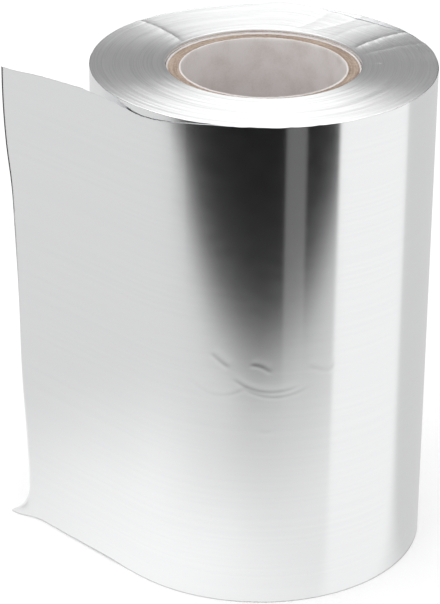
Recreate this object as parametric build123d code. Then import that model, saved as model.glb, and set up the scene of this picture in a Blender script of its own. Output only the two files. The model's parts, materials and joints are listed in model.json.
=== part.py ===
"""A roll of aluminium foil standing on one end.

One foil strip is wound tight on a paperboard core tube. Its last turn ends in a
free tail that leaves the roll along a tangent and stands beside it.

Frame: millimetres, +Z up along the core's axis, the origin on that axis in the
plane that the roll stands on. The tail points to -X and +Y.
"""

import math
import os

from build123d import *

# ---- driving dimensions, in millimetres -------------------------------------------

FOIL_WIDTH = 120.0  # the strip's width, and so the height of the standing roll
FOIL_GAUGE = 0.015  # thickness of one layer of foil
WINDING_DIAMETER = 80.0  # outside diameter of the wound foil

CORE_BORE = 38.0  # inside diameter of the paperboard tube, for a spindle
CORE_WALL = 3.5  # thickness of the tube's wall
CORE_RECESS = 1.0  # how far the tube stops short of the foil's upper edge

TAIL_LEAVES_AT = 225.0  # degrees round from +X to the line where the tail leaves
TAIL_REACH_FOOT = 40.0  # free foil along the floor, from that line to the cut edge
TAIL_REACH_TOP = 45.0  # and along the upper edge, because the cut runs askew
TAIL_DROP = 3.0  # how far the tail's outer upper corner sits below the roll's end

# ---- what follows from them --------------------------------------------------------

WINDING_RADIUS = WINDING_DIAMETER / 2
BORE_RADIUS = CORE_BORE / 2
CORE_RADIUS = BORE_RADIUS + CORE_WALL
CORE_LENGTH = FOIL_WIDTH - CORE_RECESS

STANDING = (Align.CENTER, Align.CENTER, Align.MIN)  # on the origin, reaching up +Z


def make_core_tube() -> Part:
    """Returns the paperboard tube, flush with the foil at the foot of the roll."""
    wall = Cylinder(CORE_RADIUS, CORE_LENGTH, align=STANDING)
    return wall - Cylinder(BORE_RADIUS, CORE_LENGTH, align=STANDING)


def make_winding() -> Part:
    """Returns the wound turns as one solid, seated face to face on the core tube."""
    turns = Cylinder(WINDING_RADIUS, FOIL_WIDTH, align=STANDING)
    return turns - Cylinder(CORE_RADIUS, FOIL_WIDTH, align=STANDING)


def make_tail() -> Part:
    """Returns the free end of the strip, one layer thick, tangent to the winding."""
    angle = math.radians(TAIL_LEAVES_AT)
    outwards = Vector(math.cos(angle), math.sin(angle), 0)
    along = Vector(math.sin(angle), -math.cos(angle), 0)
    # x of this plane runs out along the tail and y runs up it
    tail_plane = Plane(origin=outwards * WINDING_RADIUS, x_dir=along, z_dir=-outwards)
    corners = [
        (0, 0),
        (TAIL_REACH_FOOT, 0),
        (TAIL_REACH_TOP, FOIL_WIDTH - TAIL_DROP),
        (0, FOIL_WIDTH),
    ]
    outline = tail_plane * Polygon(*corners, align=None)
    return extrude(outline, FOIL_GAUGE)


def make_foil() -> Part:
    """Returns the whole strip: the wound turns and the tail are one piece of foil."""
    return make_winding() + make_tail()


os.makedirs("parts", exist_ok=True)
export_step(make_core_tube(), "parts/core_tube.step")
export_step(make_foil(), "parts/foil.step")
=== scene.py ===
"""Looks of a narrow roll of aluminium foil that stands on one end.

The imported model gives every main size. The strip's outermost turn and its free tail
are one thin sheet, the turns under it are one ring with an uneven wound edge on top,
and the paperboard core is a tube of grey board between two white plies.

Lengths in this file are millimetres unless a name says otherwise, and a mesh is
scaled to metres when it is made.
"""

import json
import logging
import math
from dataclasses import dataclass
from enum import Enum
from typing import Any, Sequence

import bpy
import numpy as np
from mathutils import Matrix, Vector

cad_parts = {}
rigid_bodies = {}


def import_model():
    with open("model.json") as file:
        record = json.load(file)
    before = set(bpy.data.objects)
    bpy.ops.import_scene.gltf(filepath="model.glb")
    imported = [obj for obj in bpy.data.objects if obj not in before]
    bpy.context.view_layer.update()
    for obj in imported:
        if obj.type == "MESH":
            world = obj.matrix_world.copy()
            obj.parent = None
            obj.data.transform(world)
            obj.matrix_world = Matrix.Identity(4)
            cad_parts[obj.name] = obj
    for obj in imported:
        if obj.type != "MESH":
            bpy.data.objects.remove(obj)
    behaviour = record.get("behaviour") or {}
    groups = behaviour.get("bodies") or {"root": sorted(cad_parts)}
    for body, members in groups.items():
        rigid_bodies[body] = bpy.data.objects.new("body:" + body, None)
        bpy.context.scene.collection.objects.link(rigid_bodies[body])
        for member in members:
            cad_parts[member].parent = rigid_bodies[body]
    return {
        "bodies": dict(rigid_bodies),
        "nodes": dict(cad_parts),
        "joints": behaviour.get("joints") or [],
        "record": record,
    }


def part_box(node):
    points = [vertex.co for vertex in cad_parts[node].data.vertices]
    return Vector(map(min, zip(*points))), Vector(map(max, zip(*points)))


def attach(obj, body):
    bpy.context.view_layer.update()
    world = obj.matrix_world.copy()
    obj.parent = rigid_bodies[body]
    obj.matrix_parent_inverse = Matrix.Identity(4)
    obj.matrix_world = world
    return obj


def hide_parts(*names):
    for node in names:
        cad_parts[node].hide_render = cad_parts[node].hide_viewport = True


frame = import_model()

LOG = logging.getLogger("foil_roll")
METRES = 0.001  # one millimetre

Array = np.ndarray
Colour = tuple[float, float, float, float]
Curve = tuple[tuple[float, float], ...]
Finer = tuple[tuple[float, float, float], ...]


class Part(Enum):
    """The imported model's nodes."""

    FOIL = "foil"
    CORE = "core_tube"


class Stock(Enum):
    """The record's material slots."""

    FOIL = "foil"
    BOARD = "paperboard"


# ---- smooth repeatable numbers -------------------------------------------------------


def smoothstep(low: float, high: float, value: Array | float) -> Array:
    """Eases from 0 to 1 as value goes from low to high.

    Args:
        low: where the result is still 0. It may be above high.
        high: where the result has reached 1.
        value: the numbers to ease.

    Returns:
        Numbers from 0 to 1, as many as value holds.
    """
    part = np.clip((np.asarray(value, float) - low) / (high - low), 0.0, 1.0)
    return part * part * (3.0 - 2.0 * part)


def hump(distance: Array, width: float) -> Array:
    """Returns a bell curve of distance, 1 at its middle and 1/e at width."""
    return np.exp(-((distance / width) ** 2))


def through(points: Curve, value: Array | float) -> Array:
    """Reads a smooth curve that passes through given points.

    Args:
        points: pairs of position and height, in rising order of position.
        value: the positions to read.

    Returns:
        The curve's height at each position, level outside the first and last point.
    """
    xs = np.array([p[0] for p in points], float)
    ys = np.array([p[1] for p in points], float)
    slopes = np.gradient(ys, xs)
    slopes[0] = slopes[-1] = 0.0
    at = np.clip(np.asarray(value, float), xs[0], xs[-1])
    i = np.clip(np.searchsorted(xs, at, side="right") - 1, 0, len(xs) - 2)
    step = xs[i + 1] - xs[i]
    t = (at - xs[i]) / step
    start = (1 + 2 * t) * (1 - t) ** 2 * ys[i] + t * (1 - t) ** 2 * step * slopes[i]
    end = t * t * (3 - 2 * t) * ys[i + 1] + t * t * (t - 1) * step * slopes[i + 1]
    return start + end


class Wander:
    """Smooth random heights from -1 to 1 over one or two coordinates, the same each run."""

    def __init__(self, seed: int, pitch: float, pitch_across: float = 1.0, size: int = 512) -> None:
        """Draws the heights.

        Args:
            seed: starts the random draw.
            pitch: distance between drawn heights along the first coordinate.
            pitch_across: the same along the second coordinate.
            size: how many heights are drawn each way before they repeat.
        """
        self.pitch = pitch
        self.pitch_across = pitch_across
        self.size = size
        self.heights = np.random.default_rng(seed).uniform(-1.0, 1.0, (size, size))

    def __call__(self, along: Array, across: Array | float = 0.0) -> Array:
        """Reads the heights.

        Args:
            along: first coordinate.
            across: second coordinate.

        Returns:
            The height at each place.
        """
        a, b = np.broadcast_arrays(
            np.asarray(along, float) / self.pitch, np.asarray(across, float) / self.pitch_across
        )
        i, j = np.floor(a).astype(int), np.floor(b).astype(int)
        s, t = smoothstep(0, 1, a - i), smoothstep(0, 1, b - j)
        i0, i1, j0, j1 = i % self.size, (i + 1) % self.size, j % self.size, (j + 1) % self.size
        h = self.heights
        near = h[i0, j0] * (1 - s) + h[i1, j0] * s
        far = h[i0, j1] * (1 - s) + h[i1, j1] * s
        return near * (1 - t) + far * t


def stations(start: float, end: float, step: float, *finer: tuple[float, float, float]) -> Array:
    """Places the lines of a mesh, closer together where more detail is needed.

    Args:
        start: first line.
        end: last line.
        step: usual distance between lines.
        finer: stretches given as (from, to, step).

    Returns:
        The lines' positions in rising order, start and end included.
    """
    found = [start]
    while found[-1] < end:
        at = found[-1]
        here = min([s for low, high, s in finer if low <= at < high] + [step])
        found.append(at + here)
    found[-1] = end
    if len(found) > 2 and found[-1] - found[-2] < step * 0.05:
        del found[-2]
    return np.array(found)


def around_axis(angle: Array, radius: Array, height: Array) -> Array:
    """Places points by angle round the roll's axis.

    Args:
        angle: degrees round from +X.
        radius: distances from the axis.
        height: heights above the foot.

    Returns:
        Points, with x, y and z along the last axis.
    """
    a, r, z = np.broadcast_arrays(np.radians(angle), radius, height)
    return np.stack([r * np.cos(a), r * np.sin(a), z], -1)


# ---- node trees ----------------------------------------------------------------------


class Value:
    """One output of a shader node. Arithmetic on it adds the Math nodes that it needs."""

    def __init__(self, graph: "Graph", socket: bpy.types.NodeSocket) -> None:
        """Wraps socket, an output in graph's tree."""
        self.graph = graph
        self.socket = socket

    def _math(self, operation: str, *operands: "Value | float") -> "Value":
        """Adds a Math node for operation on operands and returns its result."""
        numbered = {str(i): operand for i, operand in enumerate(operands)}
        return self.graph.add("ShaderNodeMath", {"operation": operation}, numbered)["Value"]

    def __add__(self, other: "Value | float") -> "Value":
        """Returns self + other."""
        return self._math("ADD", self, other)

    def __radd__(self, other: float) -> "Value":
        """Returns other + self."""
        return self._math("ADD", other, self)

    def __sub__(self, other: "Value | float") -> "Value":
        """Returns self - other."""
        return self._math("SUBTRACT", self, other)

    def __rsub__(self, other: float) -> "Value":
        """Returns other - self."""
        return self._math("SUBTRACT", other, self)

    def __mul__(self, other: "Value | float") -> "Value":
        """Returns self * other."""
        return self._math("MULTIPLY", self, other)

    def __rmul__(self, other: float) -> "Value":
        """Returns other * self."""
        return self._math("MULTIPLY", other, self)

    def __pow__(self, other: float) -> "Value":
        """Returns self raised to the power other."""
        return self._math("POWER", self, other)

    def size(self) -> "Value":
        """Returns self without its sign."""
        return self._math("ABSOLUTE", self)

    def fraction(self) -> "Value":
        """Returns what self has after the decimal point."""
        return self._math("FRACT", self)

    def ease(self, low: float, high: float, start: float = 0.0, end: float = 1.0) -> "Value":
        """Goes smoothly from start to end as self goes from low to high.

        Args:
            low: where the result is still start.
            high: where it has reached end.
            start: the first result.
            end: the last result.

        Returns:
            The eased value.
        """
        ranges = {"From Min": low, "From Max": high, "To Min": start, "To Max": end}
        settings = {"interpolation_type": "SMOOTHSTEP"}
        return self.graph.add("ShaderNodeMapRange", settings, {"Value": self, **ranges})["Result"]


class Graph:
    """The node tree of a material or of the world."""

    def __init__(self, tree: bpy.types.NodeTree) -> None:
        """Empties tree and keeps it."""
        tree.nodes.clear()
        self.tree = tree

    def add(
        self, kind: str, settings: dict[str, Any] | None = None, sockets: dict[str, Any] | None = None
    ) -> dict[str, Value]:
        """Adds one node.

        Args:
            kind: the node's type.
            settings: its own settings, such as a Math node's operation.
            sockets: a Value to link or a constant to set, by socket name, identifier or number.

        Returns:
            The node's enabled outputs by name.
        """
        node = self.tree.nodes.new(kind)
        for name, setting in (settings or {}).items():
            setattr(node, name, setting)
        for name, given in (sockets or {}).items():
            socket = self._input(node, name)
            if isinstance(given, Value):
                self.tree.links.new(given.socket, socket)
            else:
                socket.default_value = given
        return {output.name: Value(self, output) for output in node.outputs if output.enabled}

    @staticmethod
    def _input(node: bpy.types.Node, name: str) -> bpy.types.NodeSocket:
        """Finds one input of a node.

        Args:
            node: the node.
            name: the input's number, identifier or name.

        Returns:
            The input.
        """
        if name.isdigit():
            return node.inputs[int(name)]
        enabled = [socket for socket in node.inputs if socket.enabled]
        return next(socket for socket in enabled if name in (socket.identifier, socket.name))

    def place(self) -> dict[str, Value]:
        """Reads where the surface point is.

        Returns:
            Its X, Y and Z in the roll's frame, in millimetres.
        """
        coordinates = self.add("ShaderNodeTexCoord")["Object"]
        axes = self.add("ShaderNodeSeparateXYZ", {}, {"Vector": coordinates})
        return {axis: axes[axis] * (1 / METRES) for axis in "XYZ"}

    def point(self, x: Value | float, y: Value | float, z: Value | float) -> Value:
        """Returns the vector x, y, z."""
        return self.add("ShaderNodeCombineXYZ", {}, {"X": x, "Y": y, "Z": z})["Vector"]

    def noise(self, where: Value, scale: float, detail: float = 2.0, roughness: float = 0.5) -> Value:
        """Adds fractal noise.

        Args:
            where: the point at which it is read.
            scale: how many lumps there are in one unit.
            detail: octaves.
            roughness: how strong each octave is beside the one before.

        Returns:
            The noise, from 0 to 1 around 0.5.
        """
        sockets = {"Vector": where, "Scale": scale, "Detail": detail, "Roughness": roughness}
        return self.add("ShaderNodeTexNoise", {}, sockets)["Fac"]

    def mix(self, factor: Value, first: Any, second: Any) -> Value:
        """Mixes two colours.

        Args:
            factor: 0 for the first and 1 for the second.
            first: a colour, as a Value or as four numbers.
            second: a colour, likewise.

        Returns:
            The mixed colour.
        """
        sockets = {"Factor": factor, "A": first, "B": second}
        return self.add("ShaderNodeMix", {"data_type": "RGBA"}, sockets)["Result"]

    def bump(self, height: Value, depth_mm: float) -> Value:
        """Turns a height from 0 to 1 into a normal, with depth_mm from the lowest to the highest."""
        sockets = {"Height": height, "Distance": depth_mm * METRES, "Strength": 1.0}
        return self.add("ShaderNodeBump", {}, sockets)["Normal"]


# ---- finishes ------------------------------------------------------------------------


def colour(red: float, green: float, blue: float) -> Colour:
    """Returns an opaque linear colour."""
    return (red, green, blue, 1.0)


@dataclass(frozen=True)
class Finish:
    """A surface finish, which builds one material."""

    name: str

    def material(self) -> bpy.types.Material:
        """Makes a material.

        Returns:
            A new material with this finish.
        """
        made = bpy.data.materials.new(self.name)
        made.use_nodes = True
        graph = Graph(made.node_tree)
        graph.add("ShaderNodeOutputMaterial", {}, {"Surface": self.shade(graph)})
        return made

    def shade(self, graph: Graph) -> Value:
        """Adds the finish's nodes to graph and returns its shader."""
        raise NotImplementedError


@dataclass(frozen=True)
class RolledFoil(Finish):
    """The strip's mirror face, blurred across the fine lines that the mill rolls leave."""

    name: str = "rolled_foil"
    tint: Colour = colour(0.905, 0.91, 0.915)
    # painted shade: the base colour takes this slightly darker tint where the rolling lines' bump is low
    shade_tint: Colour = colour(0.893, 0.899, 0.905)
    roughness: float = 0.15
    anisotropy: float = 0.79
    line_pitch: float = 0.55
    line_depth: float = 0.0002
    mottle_pitch: float = 2.4
    mottle_depth: float = 0.0012

    def shade(self, graph: Graph) -> Value:
        """Adds the foil face's nodes.

        Args:
            graph: the material's node tree.

        Returns:
            The shader.
        """
        at = graph.place()
        lines_at = graph.point(at["X"] * 0.012, at["Y"] * 0.012, at["Z"] * (1 / self.line_pitch))
        lines = graph.noise(lines_at, 1.0, 3.0, 0.6)
        mottle_at = graph.point(at["X"] * 0.55, at["Y"] * 0.55, at["Z"])
        mottle = graph.noise(mottle_at, 1 / self.mottle_pitch, 2.0)
        lined = graph.bump(lines, self.line_depth)
        bump = {"Height": mottle, "Distance": self.mottle_depth * METRES, "Normal": lined}
        normal = graph.add("ShaderNodeBump", {}, bump)["Normal"]
        sockets = {
            # painted shade: the colour darkens with the rolling lines' bump, in their low parts
            "Base Color": graph.mix(lines.ease(0.35, 0.65), self.shade_tint, self.tint),
            "Metallic": 1.0,
            "Roughness": self.roughness + (mottle - 0.5) * 0.03,
            "Anisotropic": self.anisotropy,
            "Anisotropic Rotation": 0.25,
            "Normal": normal,
        }
        return graph.add("ShaderNodeBsdfPrincipled", {}, sockets)["BSDF"]


@dataclass(frozen=True)
class WoundEdge(Finish):
    """The end of the roll, where the edges of hundreds of layers show as fine rings."""

    name: str = "wound_edge"
    tint: Colour = colour(0.91, 0.912, 0.914)
    # painted shade: the base colour takes this darker tint where the rings' bump is low, in the grooves
    # between layer edges
    groove_tint: Colour = colour(0.78, 0.785, 0.79)
    roughness: float = 0.36
    anisotropy: float = 0.95
    ring_pitch: float = 0.28
    ring_depth: float = 0.004
    step_pitch: float = 0.6
    step_depth: float = 0.03  # each ring's fall towards the rim

    def shade(self, graph: Graph) -> Value:
        """Adds the wound edge's nodes.

        Args:
            graph: the material's node tree.

        Returns:
            The shader.
        """
        at = graph.place()
        radius = (at["X"] ** 2 + at["Y"] ** 2) ** 0.5
        rings_at = graph.point(radius * (1 / self.ring_pitch), at["X"] * 0.03, at["Y"] * 0.03)
        rings = graph.noise(rings_at, 1.0, 3.0, 0.65)
        steps = (radius * (1 / self.step_pitch)).fraction() * -self.step_depth
        sockets = {
            # painted shade in the grooves: the colour darkens with the rings' bump
            "Base Color": graph.mix(rings.ease(0.3, 0.6), self.groove_tint, self.tint),
            "Metallic": 1.0,
            "Roughness": self.roughness + (rings - 0.5) * 0.12,
            "Anisotropic": self.anisotropy,
            "Anisotropic Rotation": 0.25,
            "Normal": graph.bump(rings * self.ring_depth + steps, 1.0),
        }
        return graph.add("ShaderNodeBsdfPrincipled", {}, sockets)["BSDF"]


@dataclass(frozen=True)
class GreyBoard(Finish):
    """The cut end of the core's recycled board, with its fibres and layers."""

    name: str = "grey_board"
    light: Colour = colour(0.50, 0.40, 0.32)
    dark: Colour = colour(0.25, 0.18, 0.14)
    roughness: float = 0.9
    fibre_depth: float = 0.12

    def shade(self, graph: Graph) -> Value:
        """Adds the board's nodes.

        Args:
            graph: the material's node tree.

        Returns:
            The shader.
        """
        at = graph.place()
        radius = (at["X"] ** 2 + at["Y"] ** 2) ** 0.5
        layers_at = graph.point(radius * 2.2, at["X"] * 0.12, at["Y"] * 0.12)
        layers = graph.noise(layers_at, 1.0, 3.0)
        fibres = graph.noise(graph.point(at["X"], at["Y"], at["Z"]), 1.6, 5.0, 0.7)
        blend = layers * 0.5 + fibres * 0.5
        sockets = {
            "Base Color": graph.mix(blend.ease(0.36, 0.62), self.dark, self.light),
            "Roughness": self.roughness,
            "Normal": graph.bump(fibres, self.fibre_depth),
        }
        return graph.add("ShaderNodeBsdfPrincipled", {}, sockets)["BSDF"]


@dataclass(frozen=True)
class WhitePly(Finish):
    """The white paper that faces the core tube inside and out."""

    name: str = "white_ply"
    tint: Colour = colour(0.80, 0.76, 0.75)
    worn: Colour = colour(0.68, 0.63, 0.60)
    roughness: float = 0.75
    fibre_depth: float = 0.03

    def shade(self, graph: Graph) -> Value:
        """Adds the paper's nodes.

        Args:
            graph: the material's node tree.

        Returns:
            The shader.
        """
        at = graph.place()
        where = graph.point(at["X"], at["Y"], at["Z"])
        clouds = graph.noise(where, 0.16, 3.0)
        fibres = graph.noise(where, 2.4, 4.0, 0.65)
        sockets = {
            "Base Color": graph.mix((clouds * 0.7 + fibres * 0.3).ease(0.3, 0.6), self.worn, self.tint),
            "Roughness": self.roughness,
            "Normal": graph.bump(fibres, self.fibre_depth),
        }
        return graph.add("ShaderNodeBsdfPrincipled", {}, sockets)["BSDF"]


# ---- meshes --------------------------------------------------------------------------


class MeshMaker:
    """Collects grids of points and joins them into one closed mesh."""

    def __init__(self) -> None:
        """Starts with no points and no faces."""
        self.points: list[Array] = []
        self.count = 0
        self.faces: list[Array] = []
        self.slots: list[Array] = []

    def grid(self, points: Array) -> Array:
        """Adds a grid of points.

        Args:
            points: an array of shape (columns, rows, 3).

        Returns:
            The points' numbers, of shape (columns, rows).
        """
        columns, rows, _ = points.shape
        numbers = np.arange(columns * rows).reshape(columns, rows) + self.count
        self.points.append(points.reshape(-1, 3))
        self.count += columns * rows
        return numbers

    def ring(self, points: Array) -> Array:
        """Adds the surface points of a ring.

        Args:
            points: an array of shape (columns, rows, 3), round the axis and round the section.

        Returns:
            The points' numbers, with the first column and row again at the end.
        """
        numbers = self.grid(points)
        numbers = np.concatenate([numbers, numbers[:1]])
        return np.concatenate([numbers, numbers[:, :1]], axis=1)

    def skin(self, numbers: Array, slot: int = 0, flip: bool = False) -> None:
        """Adds a quad for each cell of a grid.

        Args:
            numbers: point numbers, of shape (columns, rows).
            slot: the material slot of the quads.
            flip: turns the quads to face the other way.
        """
        quads = np.stack(
            [numbers[:-1, :-1], numbers[1:, :-1], numbers[1:, 1:], numbers[:-1, 1:]], -1
        ).reshape(-1, 4)
        self.add(quads[:, ::-1] if flip else quads, slot)

    def add(self, faces: Array, slot: int = 0) -> None:
        """Adds faces, an array of point numbers with three or four columns."""
        self.faces.append(faces)
        self.slots.append(np.full(len(faces), slot))

    def build(self, name: str, finishes: Sequence[Finish], axis_box: Array) -> bpy.types.Object:
        """Makes the object.

        Args:
            name: the piece's name.
            finishes: one finish for each material slot.
            axis_box: half sizes of the box, centred on the roll's axis, whose middle
                is the middle that circular brushing turns round.

        Returns:
            The new object, smooth shaded and linked to the scene.
        """
        mesh = bpy.data.meshes.new(name)
        faces = [face for group in self.faces for face in group.tolist()]
        mesh.from_pydata((np.concatenate(self.points) * METRES).tolist(), [], faces)
        for finish in finishes:
            mesh.materials.append(finish.material())
        mesh.polygons.foreach_set("material_index", np.concatenate(self.slots).astype(np.int32))
        mesh.shade_smooth()
        mesh.use_auto_texspace = False
        mesh.texspace_location = (0.0, 0.0, axis_box[2] * METRES)
        mesh.texspace_size = tuple(axis_box * METRES)
        mesh.validate()
        mesh.update()
        made = bpy.data.objects.new(name, mesh)
        bpy.context.scene.collection.objects.link(made)
        return made


# ---- the roll's sizes ----------------------------------------------------------------


@dataclass(frozen=True)
class RollSizes:
    """The roll's main sizes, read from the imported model."""

    radius: float
    width: float
    core_radius: float
    core_top: float
    bore_radius: float

    @classmethod
    def read(cls, packed: dict[str, Any]) -> "RollSizes":
        """Reads the sizes.


        Returns:
            The sizes, in millimetres.
        """
        _, foil_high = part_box(Part.FOIL.value)
        _, core_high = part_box(Part.CORE.value)
        bore = next(m for m in packed["record"]["mounts"] if m["name"] == "core_bore")
        return cls(
            radius=round(foil_high.y / METRES, 1),
            width=round(foil_high.z / METRES, 1),
            core_radius=round(core_high.y / METRES, 1),
            core_top=round(core_high.z / METRES, 1),
            bore_radius=bore["dims"]["r_mm"],
        )

    def axis_box(self) -> Array:
        """Returns half sizes of a box round the roll, centred on its axis."""
        return np.array([self.radius, self.radius, self.width / 2])


# ---- the sheet: outermost turn and tail ----------------------------------------------


@dataclass(frozen=True)
class Crescent:
    """A half-moon crease, which foil takes where a finger has pressed it.

    Its place is given on the unrolled sheet: an angle round the roll and a height.
    """

    angle: float  # degrees round from +X
    height: float
    half_length: float
    sag: float  # how far its middle lies below its ends
    tilt: float = 0.0  # degrees, positive lifts its right end
    depth: float = 0.05
    width: float = 0.45
    hollow_at: float = 2.2  # how far the hollow lies above the lip, in widths
    hollow_width: float = 2.6  # how wide it is, in widths
    hollow_share: float = 0.55  # how deep it is beside the lip's height

    def relief(self, along: Array, height: Array, radius: float) -> Array:
        """Works out how far the crease moves the sheet outwards.

        Args:
            along: angle round the roll in degrees, at each point.
            height: height of each point.
            radius: the roll's radius.

        Returns:
            The distance outwards at each point, in millimetres.
        """
        right = np.radians(along - self.angle) * radius
        up = height - self.height
        turn = math.radians(self.tilt)
        a = right * math.cos(turn) + up * math.sin(turn)
        b = up * math.cos(turn) - right * math.sin(turn)
        t = a / self.half_length
        off = b - self.sag * (t * t - 1.0)
        fade = smoothstep(1.15, 0.75, np.abs(t))
        lip = hump(off, self.width)
        hollow = hump(off - self.hollow_at * self.width, self.hollow_width * self.width)
        return self.depth * fade * (lip - self.hollow_share * hollow)


@dataclass(frozen=True)
class OuterSheet:
    """The strip's outermost turn and the tail that leaves it, as one thin closed sheet."""

    sizes: RollSizes
    leaves_at: float = 225.0  # degrees round from +X to the line where the tail leaves
    gauge: float = 0.05
    ease: float = 4.0  # half length of the stretch over which the sheet straightens
    spiral_step: float = 0.12  # how much smaller the radius is one turn further on
    tucked: float = 30.0  # how far the turn's far end reaches on under the tail
    column_step: float = 1.6
    row_step: float = 1.5
    tail_step: float = 0.02  # share of the tail's length from one column to the next
    finer_columns: Finer = ((0.0, 10.0, 0.6), (12.0, 50.0, 0.4))
    finer_rows: Finer = ((42.0, 66.0, 0.4), (28.0, 42.0, 0.8), (115.0, 120.0, 0.5), (0.0, 4.0, 0.5))
    foot_gap: float = 0.02  # between the strip's lower edge and the floor
    tail_lift: float = 0.35  # how much higher the tail's lower edge lies
    wave: float = 0.02  # how far the turn stands off a true round
    tail_wave: float = 0.25
    lip: float = 0.16  # how far the upper edge stands off where it was torn low
    corner_curl: float = 2.0  # how far the tail's lower corner turns out

    # height of the strip's upper edge against distance along it, the tail being negative
    top_edge: Curve = (
        (-45.0, 117.0), (-30.0, 118.45), (-16.0, 119.25), (-8.0, 119.05), (-1.0, 118.45),
        (4.0, 118.35), (9.0, 118.8), (15.0, 119.5), (21.0, 119.95), (28.0, 120.0),
    )
    # length of the tail against height
    reach: Curve = (
        (0.0, 44.0), (2.5, 41.2), (6.0, 39.6), (10.0, 39.3), (20.0, 39.7), (42.0, 41.1),
        (60.0, 41.4), (80.0, 42.3), (89.0, 42.8), (101.0, 44.4), (117.0, 45.2),
    )
    crescents: tuple[Crescent, ...] = (
        Crescent(angle=271.5, height=57.4, half_length=7.2, sag=1.9, tilt=-7.0, depth=0.022, width=0.36),
        Crescent(angle=274.6, height=56.2, half_length=7.4, sag=2.0, tilt=-1.0, depth=0.02, width=0.36),
        Crescent(angle=255.0, height=57.0, half_length=6.8, sag=2.9, tilt=-6.0, depth=0.014, width=0.4),
        Crescent(angle=269.6, height=61.4, half_length=2.4, sag=-0.5, tilt=-22.0, depth=0.02, width=0.4),
        Crescent(angle=289.5, height=60.6, half_length=2.8, sag=0.4, tilt=-20.0, depth=0.025, width=0.5),
        Crescent(angle=256.1, height=62.9, half_length=2.6, sag=0.1, tilt=-38.0, depth=0.02, width=0.5),
        Crescent(angle=271.5, height=45.3, half_length=1.5, sag=0.2, depth=0.015),
        Crescent(angle=276.1, height=33.2, half_length=0.5, sag=0.0, depth=0.02, width=0.4),
        Crescent(angle=167.8, height=80.4, half_length=2.6, sag=0.2, tilt=-32.0, depth=0.16, width=0.5),
    )

    def build(self) -> bpy.types.Object:
        """Builds the sheet.

        Returns:
            The sheet as one closed object.
        """
        width = self.sizes.width
        share = stations(0.0, width, self.row_step, *self.finer_rows) / width
        turn = 2 * math.pi * self.sizes.radius
        roll = stations(0.0, turn + self.tucked, self.column_step, *self.finer_columns)
        tail = -stations(0.0, 1.0, self.tail_step)[:0:-1]
        middle, normals = self.place(tail, roll, share)
        maker = MeshMaker()
        outer = maker.grid(middle + normals * self.gauge / 2)
        inner = maker.grid(middle - normals * self.gauge / 2)
        maker.skin(outer)
        maker.skin(inner, flip=True)
        maker.skin(np.stack([outer[:, -1], inner[:, -1]], 1))
        maker.skin(np.stack([inner[:, 0], outer[:, 0]], 1))
        maker.skin(np.stack([inner[0], outer[0]], 1))
        maker.skin(np.stack([outer[-1], inner[-1]], 1))
        return maker.build("foil_outer_turn", [RolledFoil()], self.sizes.axis_box())

    def place(self, tail: Array, roll: Array, share: Array) -> tuple[Array, Array]:
        """Places the middle of the sheet.

        Args:
            tail: columns of the tail, from -1 at its cut edge to just under 0.
            roll: columns of the turn, as distances from where the tail leaves.
            share: rows, from 0 at the lower edge to 1 at the upper.

        Returns:
            The points and the sheet's outward normals, both of shape (columns, rows, 3).
        """
        height = share[None, :] * self.sizes.width
        tail_along = tail[:, None] * through(self.reach, height)
        roll_along = np.broadcast_to(roll[:, None], (len(roll), len(share)))
        along = np.concatenate([tail_along, roll_along])
        low, high = self.lower_edge(along), through(self.top_edge, along) + self.ragged(along)
        z = low + share[None, :] * (high - low)
        x, y, heading = self.plan(along)
        outwards = np.stack([np.sin(heading), -np.cos(heading), np.zeros_like(heading)], -1)
        middle = np.stack([x, y, z], -1) + outwards * self.relief(along, z)[..., None]
        across = np.gradient(middle, axis=0)
        upwards = np.gradient(middle, axis=1)
        normals = np.cross(across, upwards)
        return middle, normals / np.linalg.norm(normals, axis=-1, keepdims=True)

    def plan(self, along: Array) -> tuple[Array, Array, Array]:
        """Follows the sheet in plan.

        Args:
            along: distances along the strip from where the tail leaves.

        Returns:
            x, y and the heading in radians of the strip's direction away from its tail.
        """
        radius = self.sizes.radius - self.gauge / 2
        leave = math.radians(self.leaves_at)
        step = 0.05
        steps = np.arange(-60.0, self.ease + step, step)
        bend = smoothstep(-self.ease, self.ease, steps) / radius
        turned = np.concatenate([[0.0], np.cumsum((bend[1:] + bend[:-1]) * step / 2)])
        start = leave + self.ease / radius
        headings = start + math.pi / 2 + turned - turned[-1]
        dx, dy = np.cos(headings), np.sin(headings)
        xs = np.concatenate([[0.0], np.cumsum((dx[1:] + dx[:-1]) * step / 2)])
        ys = np.concatenate([[0.0], np.cumsum((dy[1:] + dy[:-1]) * step / 2)])
        xs += radius * math.cos(start) - xs[-1]
        ys += radius * math.sin(start) - ys[-1]
        angle = leave + along / radius
        wound = along > self.ease
        inset = self.spiral_step * along / (2 * math.pi * radius)
        x = np.where(wound, (radius - inset) * np.cos(angle), np.interp(along, steps, xs))
        y = np.where(wound, (radius - inset) * np.sin(angle), np.interp(along, steps, ys))
        heading = np.where(wound, angle + math.pi / 2, np.interp(along, steps, headings))
        return x, y, heading

    def lower_edge(self, along: Array) -> Array:
        """Returns the height of the strip's lower edge, a little off the floor on the tail."""
        lifted = self.tail_lift * smoothstep(-4.0, -12.0, along) * smoothstep(-43.0, -38.0, along)
        return self.foot_gap + lifted + 0.04 * (1 + Wander(5, 2.3)(along))

    def ragged(self, along: Array) -> Array:
        """Returns how the slitting knife left the strip's upper edge, above or below its line."""
        return 0.07 * Wander(11, 3.1)(along) + 0.05 * Wander(12, 0.9)(along)

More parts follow.
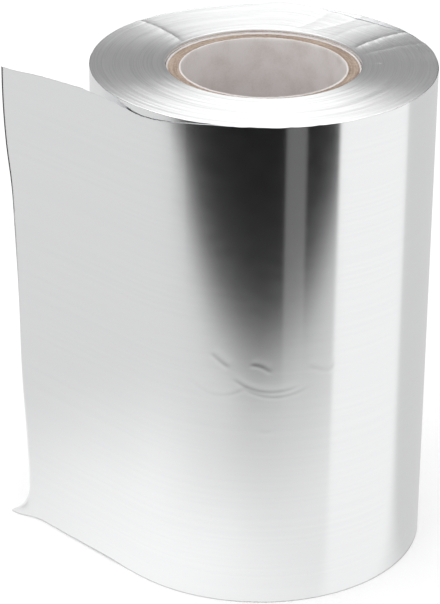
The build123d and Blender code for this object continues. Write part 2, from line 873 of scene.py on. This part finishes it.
    def relief(self, along: Array, height: Array) -> Array:
        """Works out how far the sheet stands out of its plain shape.

        Args:
            along: distance along the strip from where the tail leaves.
            height: height above the foot.

        Returns:
            The distance outwards at each point.
        """
        angle = self.leaves_at + np.degrees(along / self.sizes.radius)
        out = sum(c.relief(angle, height, self.sizes.radius) for c in self.crescents)
        tail = smoothstep(-3.0, -14.0, along)
        out = out + self.wave * Wander(21, 19.0, 31.0)(along, height) * (1 - tail)
        out = out + self.tail_wave * tail * Wander(22, 23.0, 37.0)(along, height)
        lifted = smoothstep(24.0, 4.0, along) * smoothstep(-14.0, -2.0, along)
        out = out + self.lip * lifted * smoothstep(100.0, 118.5, height)
        corner = smoothstep(7.0, 0.0, height) * smoothstep(-34.0, -43.0, along)
        return out + self.corner_curl * corner


# ---- the turns under the sheet -------------------------------------------------------


@dataclass(frozen=True)
class Buckle:
    """A crease that crosses the wound edge from the core to the rim."""

    at_core: float  # degrees round from +X at the core
    at_rim: float  # the same at the rim
    rise: float  # height of its ridge, negative for a furrow
    width: float  # how far its flanks reach, across the crease
    lean: float = 0.0  # makes one flank wider than the other, from -1 to 1
    bow: float = 2.5  # degrees by which its middle leaves a straight line

    def relief(self, angle: Array, radius: Array, share: Array) -> Array:
        """Works out how far the crease lifts the wound edge.

        Args:
            angle: degrees round from +X at each point.
            radius: distance from the axis.
            share: 0 at the core and 1 at the rim.

        Returns:
            The lift at each point.
        """
        bend = self.bow * np.sin(math.pi * share)
        swing = self.at_rim - self.at_core
        line = self.at_core + swing * share + bend * np.sign(swing)
        off = np.radians((angle - line + 180) % 360 - 180) * radius
        reach = self.width * (1 + self.lean * np.sign(off))
        return self.rise * np.exp(-np.abs(off) / reach) * smoothstep(-0.05, 0.3, share)


@dataclass(frozen=True)
class Winding:
    """All turns under the outermost, as one ring. Its upper end is the wound edge."""

    sizes: RollSizes
    clearance: float = 0.225  # from its wall to the outside of the roll
    core_gap: float = 0.05
    foot_gap: float = 0.05
    columns: int = 720
    ring_step: float = 0.3
    foot_step: float = 1.2
    wall_heights: tuple[float, ...] = (0.4, 30.0, 90.0, 115.0, 118.0, 119.0)
    hole_heights: tuple[float, ...] = (119.4, 118.6, 110.0, 60.0, 10.0, 0.6)
    bands: float = 0.05  # height of the broad rings, layers that slid together
    ridges: float = 0.035  # height of the fine rings
    nicks: float = 0.025  # height of marks that cross a few layers
    strayed: float = 0.12  # how far the rings leave a true round
    rim_fall: float = 0.12  # how much lower the last layers lie
    rim_width: float = 0.8

    buckles: tuple[Buckle, ...] = (
        Buckle(at_core=145.5, at_rim=137.5, rise=0.30, width=1.6, lean=0.4),
        Buckle(at_core=73.0, at_rim=66.0, rise=-0.30, width=1.4),
        Buckle(at_core=64.0, at_rim=55.0, rise=-0.25, width=1.3),
        Buckle(at_core=45.0, at_rim=46.5, rise=0.12, width=1.3),
        Buckle(at_core=24.0, at_rim=32.5, rise=0.32, width=1.2),
        Buckle(at_core=13.0, at_rim=18.5, rise=0.10, width=1.0),
    )
    # height of the rim round the roll, in degrees from +X, above its plain height
    rim_wave: Curve = (
        (0.0, 0.5), (10.0, 0.6), (25.0, 0.1), (36.0, -0.5), (48.0, -0.9), (60.0, -0.5), (70.0, 0.2),
        (84.0, 0.8), (96.0, -0.1), (115.0, -0.3), (130.0, -0.1), (148.0, 0.4), (170.0, 0.3),
        (205.0, 0.1), (250.0, 0.0), (300.0, 0.0), (340.0, 0.2), (360.0, 0.5),
    )

    def build(self) -> bpy.types.Object:
        """Builds the ring.

        Returns:
            The ring as one closed object.
        """
        sizes = self.sizes
        rim = sizes.radius - self.clearance
        hole = sizes.core_radius + self.core_gap
        angle = np.arange(self.columns)[:, None] * 360 / self.columns
        rings = stations(hole, rim, self.ring_step)[None, ::-1]
        foot = stations(hole, rim, self.foot_step)[None, :]
        foot_height = self.foot_gap + 0.08 * Wander(41, 1.7)(foot)
        wall = around_axis(angle, rim, np.array([self.wall_heights]))
        top = self.wound_edge(angle, rings)
        inside = around_axis(angle, hole, np.array([self.hole_heights]))
        under = around_axis(angle, foot, foot_height)
        maker = MeshMaker()
        numbers = maker.ring(np.concatenate([wall, top, inside, under], axis=1))
        edge_from = wall.shape[1] - 1
        edge_to = wall.shape[1] + top.shape[1]
        foot_from = edge_to + inside.shape[1] - 1
        maker.skin(numbers[:, : edge_from + 1], 0)
        maker.skin(numbers[:, edge_from : edge_to + 1], 1)
        maker.skin(numbers[:, edge_to : foot_from + 1], 0)
        maker.skin(numbers[:, foot_from:], 1)
        return maker.build("foil_winding", [RolledFoil("inner_foil"), WoundEdge()], sizes.axis_box())

    def wound_edge(self, angle: Array, radius: Array) -> Array:
        """Places the roll's upper end.

        Args:
            angle: degrees round from +X, of shape (columns, 1).
            radius: distance from the axis, of shape (1, rings).

        Returns:
            Points of shape (columns, rings, 3).
        """
        angle, radius = np.broadcast_arrays(angle, radius)
        hole, rim = self.sizes.core_radius, self.sizes.radius
        share = (radius - hole) / (rim - hole)
        wave = through(self.rim_wave, angle[:, 0])[:, None] * share**1.4
        folds = sum(b.relief(angle, radius, share) for b in self.buckles)
        bent = radius + self.strayed * Wander(31, 14.0, 3.0)(angle, radius)
        rings = self.ridges * Wander(32, 0.45)(bent) + self.bands * Wander(33, 1.7)(bent)
        crossed = self.nicks * Wander(34, 0.6, 9.0)(bent, angle)
        fall = -self.rim_fall * smoothstep(rim - self.rim_width, rim, radius)
        z = self.sizes.width - self.foot_gap + wave + folds + rings + crossed + fall
        return around_axis(angle, radius, z)


# ---- the core ------------------------------------------------------------------------


@dataclass(frozen=True)
class Ring:
    """One circle round the tube's surface."""

    radius: float
    height: float
    cut: bool = False  # lies on a cut end, so it is rough
    board: bool = False  # lies on the grey board


@dataclass(frozen=True)
class CoreTube:
    """The paperboard tube: grey board between a white ply outside and another inside."""

    sizes: RollSizes
    outer_ply: float = 0.5
    inner_ply: float = 0.45
    board_drop: float = 0.25  # how far the board's end lies below the edges of its plies
    foot_drop: float = 0.3  # the same at the foot
    board_rings: int = 9
    columns: int = 480
    torn: float = 0.05  # how rough the cut is, coarsely
    fuzz: float = 0.04  # and finely

    # the plies' cut edges: how far in from the outside or out from the bore, and how
    # far above the tube's upper end
    outer_edge: Curve = ((0.14, 0.02), (0.34, 0.02), (0.48, -0.12))
    inner_edge: Curve = ((0.38, -0.16), (0.25, -0.06), (0.10, -0.08))

    def outline(self) -> list[Ring]:
        """Draws the tube's section, up the outside, over the end and down the bore.

        Returns:
            The circles in that order. The last joins the first at the foot.
        """
        outer, bore, top = self.sizes.core_radius, self.sizes.bore_radius, self.sizes.core_top
        board = np.linspace(outer - self.outer_ply, bore + self.inner_ply, self.board_rings)
        outside = [(outer, 0.1), (outer, 20.0), (outer, 100.0), (outer, top - 1.0)]
        outside += [(outer - 0.02, top - 0.15)]
        inside = [(bore, top - 0.3), (bore, top - 1.2), (bore, top - 4.0), (bore, 90.0), (bore, 60.0)]
        low = [(bore, 30.0), (bore, 4.0), (bore, 0.3), (bore + 0.12, 0.08), (bore + 0.35, 0.08)]
        return (
            [Ring(radius, height) for radius, height in outside]
            + [Ring(outer - across, top + up, cut=True) for across, up in self.outer_edge]
            + [Ring(radius, top - self.board_drop, cut=True, board=True) for radius in board]
            + [Ring(bore + across, top + up, cut=True) for across, up in self.inner_edge]
            + [Ring(radius, height) for radius, height in inside + low]
            + [Ring(radius, self.foot_drop, cut=True, board=True) for radius in board[::-1]]
            + [Ring(outer - 0.35, 0.06, cut=True), Ring(outer - 0.1, 0.02, cut=True)]
        )

    def build(self) -> bpy.types.Object:
        """Builds the tube.

        Returns:
            The tube as one closed object.
        """
        rings = self.outline()
        radius = np.array([[ring.radius for ring in rings]])
        height = np.array([[ring.height for ring in rings]])
        angle = np.arange(self.columns)[:, None] * 360 / self.columns
        arc = angle * 0.4
        rough = self.torn * Wander(51, 1.1, 0.7)(arc, radius) + self.fuzz * Wander(52, 0.5, 0.5)(arc, radius)
        cut = np.array([[ring.cut for ring in rings]])
        maker = MeshMaker()
        numbers = maker.ring(around_axis(angle, radius, height + np.where(cut, rough, 0.0)))
        for i, ring in enumerate(rings):
            on_board = ring.board and rings[(i + 1) % len(rings)].board
            maker.skin(numbers[:, i : i + 2], int(on_board))
        return maker.build("core_paperboard", [WhitePly(), GreyBoard()], self.sizes.axis_box())


# ---- the studio ----------------------------------------------------------------------


@dataclass(frozen=True)
class PaleFloor(Finish):
    """The floor that the camera and soft light meet: near white, with the roll's shadow."""

    name: str = "pale_floor"
    tint: Colour = colour(0.80, 0.80, 0.80)
    glow: float = 0.25

    def shade(self, graph: Graph) -> Value:
        """Adds the floor's nodes.

        Args:
            graph: the material's node tree.

        Returns:
            The shader.
        """
        camera = graph.add("ShaderNodeLightPath")["Is Camera Ray"]
        diffuse = graph.add("ShaderNodeBsdfDiffuse", {}, {"Color": self.tint})["BSDF"]
        glow = graph.add("ShaderNodeEmission", {}, {"Color": camera * self.glow})
        return graph.add("ShaderNodeAddShader", {}, {"0": diffuse, "1": glow["Emission"]})["Shader"]


@dataclass(frozen=True)
class Border:
    """A straight border in the painted table reflection, by a point on it and its direction."""

    x: float
    y: float
    azimuth: float  # degrees from the front towards the right
    soft: float  # half the width of its blur

    def right_of(self, x: Value, y: Value) -> Value:
        """Tells the two sides of the border apart.

        Args:
            x: a point's x.
            y: the point's y.

        Returns:
            1 to the right of the border and 0 to its left, eased between.
        """
        a = math.radians(self.azimuth)
        offset = self.x * math.cos(a) + self.y * math.sin(a)
        return (x * math.cos(a) + y * math.sin(a) - offset).ease(-self.soft, self.soft)


@dataclass(frozen=True)
class TableInFoil(Finish):
    """A painted reflection for the foil: a disc under the floor that glows though it is no lamp and that
    only reflections see. Its pattern stands for a white table top with a dark studio past its front edge.

    Brightness is the light that each region sends out, 1 being plain white.
    """

    name: str = "table_in_foil"
    near: float = 0.86  # in front of the roll, close to it
    middle: float = 0.66  # further forward
    left: float = 0.74
    behind: float = 0.67  # on the right, behind the panel
    panel: float = 0.96  # painted reflection of a white panel on the right
    glint: float = 0.26  # painted light, added where the tail and the roll throw light on the table
    dark: float = 0.002  # past the front edge
    stripe: float = 0.14  # painted reflection of a dim upright behind it
    near_ends: float = -60.0
    middle_starts: float = -140.0
    left_blend: tuple[float, float] = (-10.0, -60.0)
    right_blend: tuple[float, float] = (-10.0, 10.0)
    glint_at: tuple[float, float] = (-56.0, -36.0)
    glint_reach: float = 88.0
    front: float = -163.0  # where the table ends
    front_blend: tuple[float, float] = (26.0, -34.0)
    slant: float = 0.09  # how the ends of its front edge fall back
    stripe_left: Border = Border(4.6, -39.7, azimuth=14.7, soft=3.0)
    stripe_right: Border = Border(9.1, -38.9, azimuth=28.4, soft=3.0)
    panel_from: Border = Border(15.3, -37.0, azimuth=51.0, soft=3.0)
    panel_to: Border = Border(32.4, -23.5, azimuth=110.0, soft=6.0)

    def shade(self, graph: Graph) -> Value:
        """Adds the painted table reflection's nodes.

        Args:
            graph: the material's node tree.

        Returns:
            The shader.
        """
        at = graph.place()
        x, y = at["X"], at["Y"]
        white = y.ease(self.near_ends, self.middle_starts, self.near, self.middle)
        white = white + x.ease(*self.left_blend) * (self.left - white)
        corner = ((x - self.glint_at[0]) ** 2 + (y - self.glint_at[1]) ** 2) ** 0.5
        # painted light: a pool of light where the tail and the roll would throw light on the table
        white = white + corner.ease(self.glint_reach, 0.0) * self.glint
        beyond = (y + x.size() * self.slant - self.front).ease(*self.front_blend)
        stripe = self.stripe_left.right_of(x, y) * (1 - self.stripe_right.right_of(x, y))
        dark = stripe * (self.stripe - self.dark) + self.dark
        front = white + beyond * (dark - white)
        right_half = x.ease(*self.right_blend)
        lit = front + self.panel_from.right_of(x, y) * right_half * (self.panel - front)
        strength = lit + self.panel_to.right_of(x, y) * right_half * (self.behind - lit)
        return graph.add("ShaderNodeEmission", {}, {"Color": strength})["Emission"]


@dataclass(frozen=True)
class Studio:
    """Floor, light and camera."""

    floor_radius_m: float = 6.0
    floor_sides: int = 96
    horizon: float = 0.34  # what the foil mirrors of the studio at eye level
    ceiling: float = 1.9  # and overhead
    room: float = 0.95  # what lights matt surfaces
    mirrored: tuple[float, float] = (0.42, 0.80)  # sines of the heights between which it brightens
    key_watts: float = 2.2
    key_size: float = 0.9
    key_at: tuple[float, float, float] = (-0.45, -0.25, 1.1)
    key_aim: tuple[float, float, float] = (0.0, 0.0, 0.06)
    eye: tuple[float, float, float] = (-9.47, -574.5, 336.06)
    pitch: float = 25.748  # degrees below the horizon
    roll: float = 0.569
    lens: float = 159.3
    mirrored_drop_m: float = 0.0004  # how far the glowing disc of painted reflection lies under the floor

    def build(self) -> None:
        """Makes floor, the glowing disc of painted reflection, world, lamp and camera."""
        floor = self.floor("floor", 0.0, PaleFloor())
        floor.visible_glossy = False
        # painted reflection: a glowing disc that only glossy rays see, standing for the table and studio
        # that the foil mirrors
        mirrored = self.floor("mirrored_table", -self.mirrored_drop_m, TableInFoil())
        mirrored.visible_camera = False
        mirrored.visible_diffuse = False
        mirrored.visible_shadow = False
        self.world()
        self.key_light()
        self.camera()
        bpy.context.scene.view_settings.view_transform = "Standard"

    def floor(self, name: str, height_m: float, finish: Finish) -> bpy.types.Object:
        """Makes a round floor.

        Args:
            name: the object's name.
            height_m: its height, in metres.
            finish: its finish.

        Returns:
            The new object, marked as stage.
        """
        turn = np.linspace(0, 360, self.floor_sides, endpoint=False)
        ring = around_axis(turn, self.floor_radius_m, height_m)
        mesh = bpy.data.meshes.new(name)
        mesh.from_pydata(ring.tolist(), [], [list(range(self.floor_sides))])
        mesh.materials.append(finish.material())
        made = bpy.data.objects.new(name, mesh)
        bpy.context.scene.collection.objects.link(made)
        return made

    def world(self) -> None:
        """Makes the world: white to the camera, a graded studio in the foil and plain to the rest."""
        world = bpy.data.worlds.new("studio")
        world.use_nodes = True
        bpy.context.scene.world = world
        graph = Graph(world.node_tree)
        path = graph.add("ShaderNodeLightPath")
        direction = graph.add("ShaderNodeTexCoord")["Generated"]
        up = graph.add("ShaderNodeSeparateXYZ", {}, {"Vector": direction})["Z"]
        mirrored = up.ease(*self.mirrored, self.horizon, self.ceiling)
        glossy = path["Is Glossy Ray"]
        camera = path["Is Camera Ray"]
        strength = self.room + glossy * (mirrored - self.room)
        strength = strength + camera * (1.0 - strength)
        background = graph.add("ShaderNodeBackground", {}, {"Color": strength})
        graph.add("ShaderNodeOutputWorld", {}, {"Surface": background["Background"]})

    def key_light(self) -> None:
        """Makes one large soft lamp above and to the left, which gives the roll its shadow."""
        lamp = bpy.data.lights.new("key", "AREA")
        lamp.shape = "SQUARE"
        lamp.size = self.key_size
        lamp.energy = self.key_watts
        made = bpy.data.objects.new("key", lamp)
        made.location = self.key_at
        towards = Vector(self.key_aim) - made.location
        made.rotation_euler = towards.to_track_quat("-Z", "Y").to_euler()
        made.visible_glossy = False
        bpy.context.scene.collection.objects.link(made)

    def camera(self) -> None:
        """Makes the camera and gives it to the scene."""
        lens = bpy.data.cameras.new("camera")
        lens.lens = self.lens
        lens.sensor_width = 36.0
        lens.clip_start, lens.clip_end = 0.02, 50.0
        made = bpy.data.objects.new("camera", lens)
        tilt = Matrix.Rotation(math.radians(90 - self.pitch), 4, "X")
        turn = Matrix.Rotation(math.radians(self.roll), 4, "Z")
        made.matrix_world = Matrix.Translation(Vector(self.eye) * METRES) @ tilt @ turn
        bpy.context.scene.collection.objects.link(made)
        bpy.context.scene.camera = made


# ---- putting it together -------------------------------------------------------------


def settle(piece: bpy.types.Object, part: Part) -> None:
    """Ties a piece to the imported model.

    Args:
        piece: the visible piece.
        part: the CAD node that it stands for.
    """
    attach(piece, "root")
    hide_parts(part.value)
    LOG.info("%s: %d faces", piece.name, len(piece.data.polygons))


def main(packed: dict[str, Any]) -> None:
    """Builds the roll's pieces from the model's sizes, then the studio.
    """
    logging.basicConfig(level=logging.INFO, format="%(name)s: %(message)s")
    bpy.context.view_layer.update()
    sizes = RollSizes.read(packed)
    settle(OuterSheet(sizes).build(), Part.FOIL)
    settle(Winding(sizes).build(), Part.FOIL)
    settle(CoreTube(sizes).build(), Part.CORE)
    Studio().build()


if __name__ == "__main__":
    main(frame)
